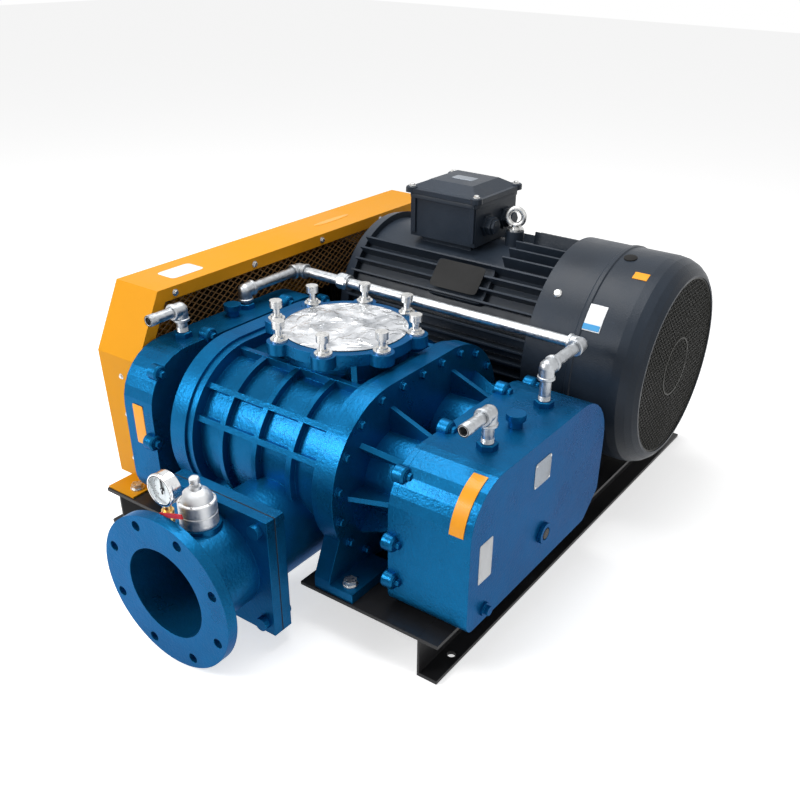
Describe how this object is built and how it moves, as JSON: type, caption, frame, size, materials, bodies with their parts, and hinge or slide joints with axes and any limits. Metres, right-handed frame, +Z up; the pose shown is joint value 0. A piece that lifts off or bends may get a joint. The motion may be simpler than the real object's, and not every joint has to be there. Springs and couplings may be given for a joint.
{
  "type": "roots blower package",
  "caption": "Skid-mounted roots blower vacuum pump: three-lobe rotors, timing gears, belt drive under a guard, finned motor, flanged outlet.",
  "frame": {"origin": "centre of the base frame's footprint, on the floor", "axes": "+Z up, shafts parallel to X with the motor fan toward +X, outlet flange toward -Y, motor toward +Y"},
  "size_m": [1.1, 1.548, 0.74],
  "materials": {
    "cast_blue": "glossy enamel over rough castings",
    "base_black": "semi-gloss black paint",
    "guard_yellow": "satin yellow paint",
    "mesh_dark": "dark paint",
    "motor_grey": "satin dark grey paint",
    "galvanised": "galvanised",
    "zinc": "bright zinc plate",
    "steel": "machined",
    "pulley_iron": "dark iron",
    "rubber": "matt",
    "film": "crumpled foil film",
    "satin_metal": "satin",
    "brass": "satin",
    "red": "gloss red",
    "gauge_chrome": "polished",
    "dial_white": "plain white",
    "pointer_black": "black",
    "glass": "clear",
    "cap_black": "dark"
  },
  "bodies": {
    "package": {"base_cross_members": "base_black", "base_deck": "base_black", "base_end_channels": "base_black", "belt_guard": "guard_yellow", "blower_foot_bolts": "zinc", "cooling_pipe_crossover": "galvanised", "cooling_pipe_drive_near": "galvanised", "cooling_pipe_gear_near": "galvanised", "discharge_bolts": "zinc", "discharge_gasket": "rubber", "discharge_spool": "cast_blue", "drive_end_plate": "cast_blue", "drive_oil_case": "cast_blue", "drive_shaft_seal": "rubber", "fan_cowl": "motor_grey", "fan_grille": "mesh_dark", "gauge_cock_body": "brass", "gauge_dial": "dial_white", "gauge_window": "glass", "gear_case": "cast_blue", "gear_end_plate": "cast_blue", "gear_side_bearing_housings": "cast_blue", "guard_bolts": "zinc", "guard_mesh": "mesh_dark", "intake_bolts": "zinc", "intake_film": "film", "lifting_eye": "zinc", "motor_bearings": "steel", "motor_drive_shield": "motor_grey", "motor_fan_shield": "motor_grey", "motor_foot_bolts": "zinc", "motor_frame": "motor_grey", "oil_drain_plug": "satin_metal", "oil_fillers": "cap_black", "oil_sight_glass": "satin_metal", "pressure_gauge_case": "gauge_chrome", "relief_valve_body": "satin_metal", "rotor_bearings": "steel", "rotor_casing": "cast_blue", "stator_core": "steel", "terminal_box": "motor_grey", "terminal_lid": "motor_grey", "v_belts": "rubber"},
    "drive_rotor_set": {"drive_rotor": "steel", "drive_timing_gear": "steel", "blower_pulley": "pulley_iron"},
    "idle_rotor_set": {"idle_rotor": "steel", "idle_timing_gear": "steel"},
    "motor_rotor_set": {"motor_rotor": "steel", "cooling_fan": "motor_grey", "motor_pulley": "pulley_iron"},
    "relief_knob": {"relief_knob": "satin_metal"},
    "cock_lever": {"cock_lever": "red"},
    "gauge_pointer": {"gauge_pointer": "pointer_black"}
  },
  "joints": [
    {"name": "drive_rotor_spin", "type": "hinge", "parent": "package", "child": "drive_rotor_set", "pos_m": [0, -0.196, 0.3], "axis": [1, 0, 0], "continuous": true},
    {"name": "idle_rotor_spin", "type": "hinge", "parent": "package", "child": "idle_rotor_set", "pos_m": [0, -0.424, 0.3], "axis": [1, 0, 0], "continuous": true},
    {"name": "motor_spin", "type": "hinge", "parent": "package", "child": "motor_rotor_set", "pos_m": [0, 0.285, 0.38], "axis": [1, 0, 0], "continuous": true},
    {"name": "relief_lift", "type": "slide", "parent": "package", "child": "relief_knob", "axis": [0, 0, 1], "range_m": [0, 0.005]},
    {"name": "cock_turn", "type": "hinge", "parent": "package", "child": "cock_lever", "pos_m": [0.008, -0.877, 0.331], "axis": [0, -1, 0], "range_deg": [0, 90]},
    {"name": "pointer_turn", "type": "hinge", "parent": "package", "child": "gauge_pointer", "pos_m": [0.008, -0.863, 0.391], "axis": [0, -1, 0], "range_deg": [-135, 135]}
  ],
  "couplings": [
    {"joint": "idle_rotor_spin", "follows": "drive_rotor_spin", "ratio": -1},
    {"joint": "motor_spin", "follows": "drive_rotor_spin", "ratio": 1.7727}
  ]
}
